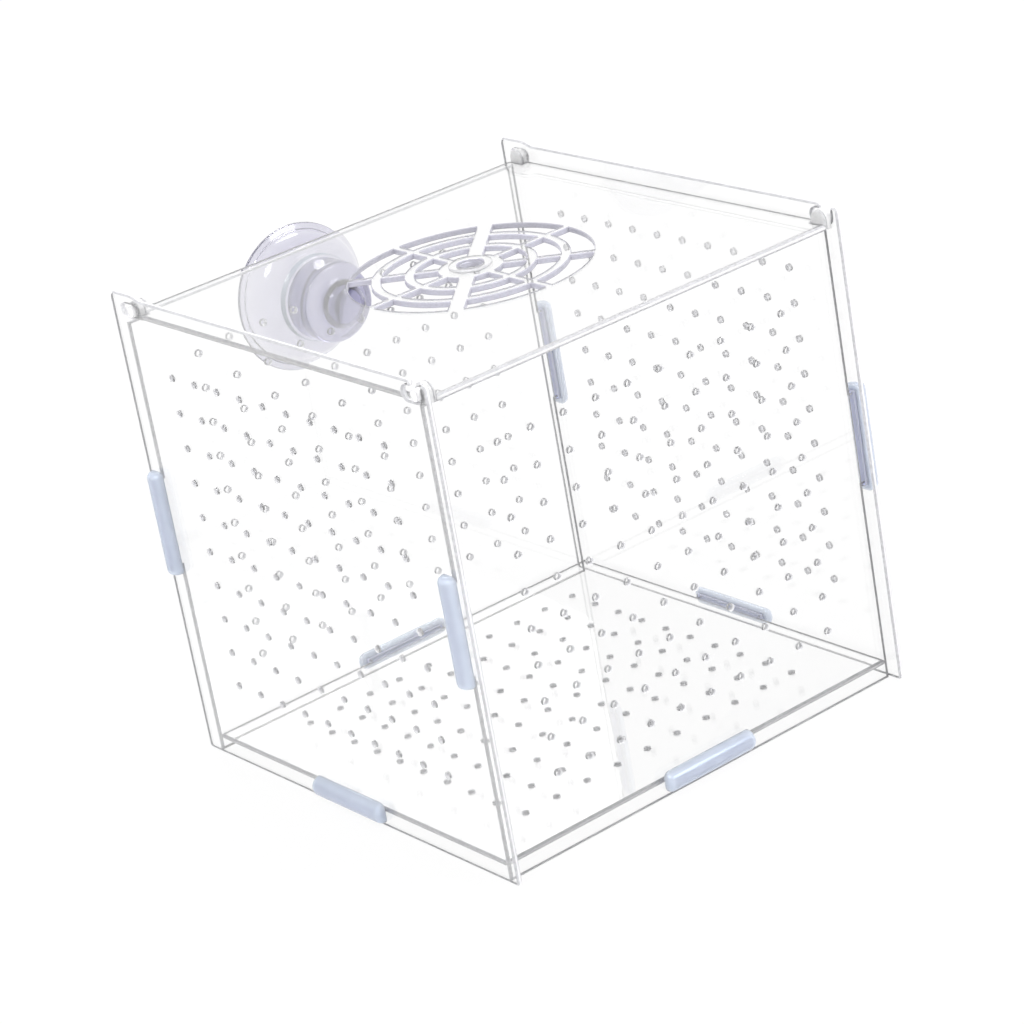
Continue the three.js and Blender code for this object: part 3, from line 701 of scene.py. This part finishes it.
class BOX_OT_pins(bpy.types.Operator):
    """Makes the two hinge pins and the two latch pins of the lid."""

    bl_idname = "breeding_box.pins"
    bl_label = "Pins"

    def execute(self, context):
        chamfer = context.scene.breeding_box_lid.pin_chamfer
        chamfers = (1, 3)  # stretches of the profile below
        for kind, body in (("hinge", "hinge_pins"), ("latch", "lid")):
            for side, sign in (("left", -1), ("right", 1)):
                node = "%s_pin_%s" % (kind, side)
                low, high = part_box(node)
                long = high[1] - low[1]
                profile = [
                    (0, 0), (PIN_RADIUS - chamfer, 0), (PIN_RADIUS, chamfer),
                    (PIN_RADIUS, long - chamfer), (PIN_RADIUS - chamfer, long), (0, long),
                ]
                place = ((low[0] + high[0]) / 2, low[1] if sign > 0 else high[1], PIN_Z)
                matrix = placing((sign, 0, 0), (0, 0, 1), (0, sign, 0), place)
                name = node + "_turned"
                mesh = lathe_mesh(name, profile, PIN_STEPS, matrix, finishes("pin", "bevel"), chamfers)
                new_object(name, mesh, body, node, slot="clear_plastic")
        return {"FINISHED"}


def clip_mesh(name, matrix):
    """Half a bar with blunt, rounded ends and a groove for the tongue: flat side at z = 0, long in x."""
    s, m = bpy.context.scene.breeding_box_sheets, bpy.context.scene.breeding_box_mouldings
    flat, straight = CLIP_RADIUS - m.clip_end, CLIP_LENGTH / 2 - m.clip_end
    stations = [(x - straight, flat + r) for x, r in arc(0, 0, m.clip_end, 2, 1, 8)]
    stations += [(-x, r) for x, r in reversed(stations)]
    mesh = bmesh.new()
    rings = []
    turn = [math.pi * k / CLIP_STEPS for k in range(CLIP_STEPS + 1)]
    for x, r in stations:
        rings.append([mesh.verts.new((x, r * math.cos(a), r * math.sin(a))) for a in turn])
    for low, high in zip(rings, rings[1:]):
        for k in range(CLIP_STEPS):
            mesh.faces.new([low[k], low[k + 1], high[k + 1], high[k]]).smooth = True
    mesh.faces.new(rings[0])
    mesh.faces.new(rings[-1])
    long, narrow = s.tongue_length / 2 + s.gap, SHEET / 2 + s.gap
    rim = [ring[0] for ring in rings] + [ring[-1] for ring in reversed(rings)]
    mouth = [mesh.verts.new((x, y, 0)) for x, y in rectangle(0, 0, long, narrow)]
    deep = [mesh.verts.new((v.co.x, v.co.y, CLIP_RADIUS - m.clip_roof)) for v in mouth]
    seat = rim + mouth
    for face in filled_faces([[tuple(v.co.xy) for v in loop] for loop in (rim, mouth)], name):
        mesh.faces.new([seat[i] for i in face])
    # The groove's faces take the second material, with its faint painted glow
    groove = 1
    for i in range(4):
        k = (i + 1) % 4
        mesh.faces.new([mouth[i], mouth[k], deep[k], deep[i]]).material_index = groove
    mesh.faces.new(deep).material_index = groove
    return finish_mesh(name, mesh, matrix, finishes("clip", "groove"))


class BOX_OT_clips(bpy.types.Operator):
    """Makes the eight half-round clips over the tongues."""

    bl_idname = "breeding_box.clips"
    bl_label = "Clips"

    def execute(self, context):
        gap = context.scene.breeding_box_sheets.gap
        axis_x, axis_y, axis_z = Vector((1, 0, 0)), Vector((0, 1, 0)), Vector((0, 0, 1))
        jobs = []
        for side, sign in (("left", -1), ("right", 1)):
            seat = sign * (OUTER_Y + gap)
            for end, way in (("rear", -1), ("front", 1)):
                place = (MIDDLE_X + way * TONGUE_X, seat, TONGUE_Z)
                jobs.append(("%s_%s_upright_clip" % (end, side), axis_z, sign * axis_y, place))
            jobs.append((side + "_floor_clip", axis_x, sign * axis_y, (MIDDLE_X, seat, FLOOR_Z)))
        for end, way, face in (("rear", -1, BACK_LOW[0]), ("front", 1, FRONT_HIGH[0])):
            jobs.append((end + "_floor_clip", axis_y, way * axis_x, (face + way * gap, 0, FLOOR_Z)))
        for node, along, out, place in jobs:
            name = node + "_moulding"
            mesh = clip_mesh(name, placing(along, out.cross(along), out, place))
            new_object(name, mesh, "box", node, slot="blue_plastic")
        return {"FINISHED"}


class BOX_OT_cup(bpy.types.Operator):
    """Makes the suction cup: lip, hollow skirt, thick hub, neck through the wall and head behind it."""

    bl_idname = "breeding_box.cup"
    bl_label = "Suction cup"

    def execute(self, context):
        gap, m = context.scene.breeding_box_sheets.gap, context.scene.breeding_box_mouldings
        collar, hub, head = m.cup_hub + m.cup_collar, m.cup_hub, m.cup_head
        lip_inner = CUP_RADIUS - m.cup_lip
        soft = 0.15 * MM  # every moulded edge is a little rounded
        # Suction face, from its middle out to the flat lip
        profile = [
            (lip_inner * r, CUP_REACH - soft - m.cup_hollow * h) for h, r in arc(0, 0, 1, 0, 1, 24)
        ]
        profile += [(lip_inner + soft, CUP_REACH), (CUP_RADIUS - soft, CUP_REACH)]
        profile += [(CUP_RADIUS, CUP_REACH - soft)]
        # Back of the lip, the step where the skirt thickens, and its flare in to the collar
        lip_back = CUP_REACH - m.cup_lip_thickness
        profile += [(CUP_RADIUS, lip_back + soft), (CUP_RADIUS - soft, lip_back)]
        profile += [(lip_inner + m.cup_step, lip_back), (lip_inner + soft, lip_back - m.cup_step)]
        flare_from = lip_back - m.cup_step
        flare = flare_from - (CUP_REACH - m.cup_skirt)
        flare_in = lip_inner - collar
        profile += [
            (lip_inner - flare_in * (1 - c), flare_from - flare * d) for c, d in arc(0, 0, 1, 0, 1, 24)
        ]
        collar_end = CUP_REACH - m.cup_skirt - m.cup_collar_length
        # The collar's stretch takes the collar material, with its painted highlight
        band = (len(profile) - 1, len(profile))
        profile += [(collar, collar_end + soft), (collar - soft, collar_end), (hub + soft, collar_end)]
        profile += [(hub, collar_end - soft)]
        # Barrel, its rounded end at the wall, neck and head
        edge = m.cup_hub_edge
        profile += arc(hub - edge, gap + edge, edge, 0, -1, 10)
        back = -SHEET - gap
        profile += [(m.cup_neck, gap), (m.cup_neck, back), (head - soft, back), (head, back - soft)]
        dome_from, dome = back - soft, m.cup_head_length - soft
        profile += [(head * c, dome_from - dome * d) for c, d in arc(0, 0, 1, 0, 1, 16)]
        profile = [(max(r, 0), h) for r, h in profile]
        profile[0], profile[-1] = (0, profile[0][1]), (0, profile[-1][1])
        matrix = placing((0, 1, 0), (0, 0, -1), (-1, 0, 0), (BACK_LOW[0], 0, CUP_Z))
        mesh = lathe_mesh("suction_cup_vinyl", profile, CUP_STEPS, matrix, finishes("cup", "collar"), band)
        new_object("suction_cup_vinyl", mesh, "box", "suction_cup", slot="clear_vinyl")
        return {"FINISHED"}


def camera_matrix(azimuth, elevation, roll, box_place):
    """Camera from its angles in degrees and the place of the box's foot along its own axes."""
    a, e, r = (math.radians(v) for v in (azimuth, elevation, roll))
    forward = -Vector((math.cos(a) * math.cos(e), -math.sin(a) * math.cos(e), math.sin(e)))
    right = forward.cross(Vector((0, 0, 1))).normalized()
    down = forward.cross(right)
    axes = (right * math.cos(r) - down * math.sin(r), right * math.sin(r) + down * math.cos(r), forward)
    matrix = Matrix((axes[0], -axes[1], -axes[2])).transposed().to_4x4()
    matrix.translation = Vector((MIDDLE_X, 0, 0)) - sum((v * d for v, d in zip(axes, box_place)), Vector())
    return matrix


def background_rays(tree):
    """1 for the rays that see the background: straight, in a gloss or through clear plastic."""
    path = add_node(tree, "ShaderNodeLightPath")
    seen = add_node(
        tree, "ShaderNodeMath", {}, {0: (path, "Is Camera Ray"), 1: (path, "Is Transmission Ray")},
        operation="MAXIMUM",
    )
    return add_node(
        tree, "ShaderNodeMath", {}, {0: (seen, "Value"), 1: (path, "Is Glossy Ray")}, operation="MAXIMUM"
    )


class BOX_OT_stage(bpy.types.Operator):
    """Makes the floor, the soft lamps, the pale surroundings and the camera."""

    bl_idname = "breeding_box.stage"
    bl_label = "Stage"

    def execute(self, context):
        scene = context.scene
        scene.view_settings.view_transform = "Standard"
        self.make_world(scene)
        self.make_floor(scene)
        self.make_lamps(scene)
        self.make_camera(scene)
        return {"FINISHED"}

    def make_world(self, scene):
        scene.world = bpy.data.worlds.new("Pale studio")
        scene.world.use_nodes = True
        tree = scene.world.node_tree
        tree.nodes.clear()
        light = add_node(tree, "ShaderNodeBackground", {"Color": (1, 1, 1, 1), "Strength": 1.0})
        white = add_node(tree, "ShaderNodeBackground", {"Color": (1, 1, 1, 1), "Strength": 1.0})
        mix = add_node(
            tree, "ShaderNodeMixShader", {},
            {0: (background_rays(tree), "Value"), 1: (light, "Background"), 2: (white, "Background")},
        )
        add_node(tree, "ShaderNodeOutputWorld", {}, {"Surface": (mix, "Shader")})

    def make_floor(self, scene):
        material, tree = new_material("Paper, matt white")
        place = add_node(tree, "ShaderNodeTexCoord")
        # Paper, pressed: an even matt white, its grain drawn 2 mm wide, coarse enough to show
        grain = add_node(tree, "ShaderNodeTexNoise", {"Scale": 1 / (2 * MM)}, {"Vector": (place, "Object")})
        bump = add_node(
            tree, "ShaderNodeBump", {"Strength": 0.02, "Distance": 0.2 * MM}, {"Height": (grain, "Fac")}
        )
        paper = add_node(
            tree, "ShaderNodeBsdfPrincipled",
            {"Base Color": scene.breeding_box_colours.floor, "Roughness": 0.9, "Specular IOR Level": 0.1},
            {"Normal": (bump, "Normal")},
        )
        glow = add_node(tree, "ShaderNodeEmission", {"Color": (1, 1, 1, 1), "Strength": 1.0})
        # Seen straight the floor is nearly as white as the background, and keeps a little of the shadow
        whiteness = 0.94
        share = add_node(
            tree, "ShaderNodeMath", {1: whiteness}, {0: (background_rays(tree), "Value")},
            operation="MULTIPLY",
        )
        mix = add_node(
            tree, "ShaderNodeMixShader", {}, {0: (share, "Value"), 1: (paper, "BSDF"), 2: (glow, "Emission")}
        )
        add_node(tree, "ShaderNodeOutputMaterial", {}, {"Surface": (mix, "Shader")})
        mesh = bpy.data.meshes.new("floor")
        far = 4.0
        corners = [(-far, -far, 0), (far, -far, 0), (far, far, 0), (-far, far, 0)]
        mesh.from_pydata(corners, [], [(0, 1, 2, 3)])
        mesh.materials.append(material)
        floor = bpy.data.objects.new("floor", mesh)
        floor.location.z = -0.2 * MM
        scene.collection.objects.link(floor)

    def make_lamps(self, scene):
        for name, place, size, power in (
            ("key_lamp", (0.5, -0.9, 1.2), 0.6, 9.0),
            ("fill_lamp", (1.0, 0.6, 0.8), 0.6, 6.0),
            ("rear_lamp", (-0.9, 0.5, 1.0), 0.6, 6.0),
        ):
            lamp = bpy.data.lights.new(name, "AREA")
            lamp.shape, lamp.size, lamp.energy = "DISK", size, power
            obj = bpy.data.objects.new(name, lamp)
            obj.location = place
            obj.rotation_euler = (Vector((0, 0, 0.06)) - Vector(place)).to_track_quat("-Z", "Y").to_euler()
            scene.collection.objects.link(obj)

    def make_camera(self, scene):
        picture, focal_length = 1024, 3486.5  # in pixels
        camera = bpy.data.cameras.new("camera")
        camera.sensor_width = 36
        camera.lens = focal_length * camera.sensor_width / picture
        camera.clip_start, camera.clip_end = 0.05, 20
        obj = bpy.data.objects.new("camera", camera)
        obj.matrix_world = camera_matrix(
            azimuth=34.930, elevation=22.171, roll=-10.302, box_place=(0.010447, 0.052833, 0.916993)
        )
        scene.collection.objects.link(obj)
        scene.camera = obj


GROUPS = {
    "breeding_box_sheets": BOX_PG_sheets,
    "breeding_box_lid": BOX_PG_lid,
    "breeding_box_mouldings": BOX_PG_mouldings,
    "breeding_box_colours": BOX_PG_colours,
}
STEPS = (BOX_OT_panels, BOX_OT_lid, BOX_OT_pins, BOX_OT_clips, BOX_OT_cup, BOX_OT_stage)


class BOX_PT_sidebar(bpy.types.Panel):
    """Lists the sizes, the colours and the steps."""

    bl_label = "Breeding box"
    bl_idname = "BOX_PT_sidebar"
    bl_space_type = "VIEW_3D"
    bl_region_type = "UI"
    bl_category = "Breeding box"

    def draw(self, context):
        for group in GROUPS:
            settings = getattr(context.scene, group)
            for name in settings.__annotations__:
                self.layout.prop(settings, name)
        for step in STEPS:
            self.layout.operator(step.bl_idname)


CLASSES = tuple(GROUPS.values()) + STEPS + (BOX_PT_sidebar,)
MATERIALS = {}


def register():
    for cls in CLASSES:
        bpy.utils.register_class(cls)
    for name, group in GROUPS.items():
        setattr(bpy.types.Scene, name, bpy.props.PointerProperty(type=group))


def unregister():
    for name in GROUPS:
        delattr(bpy.types.Scene, name)
    for cls in reversed(CLASSES):
        bpy.utils.unregister_class(cls)


def main():
    register()
    MATERIALS.update(make_materials())
    for step in ("panels", "lid", "pins", "clips", "cup", "stage"):
        getattr(bpy.ops.breeding_box, step)()


if __name__ == "__main__":
    main()
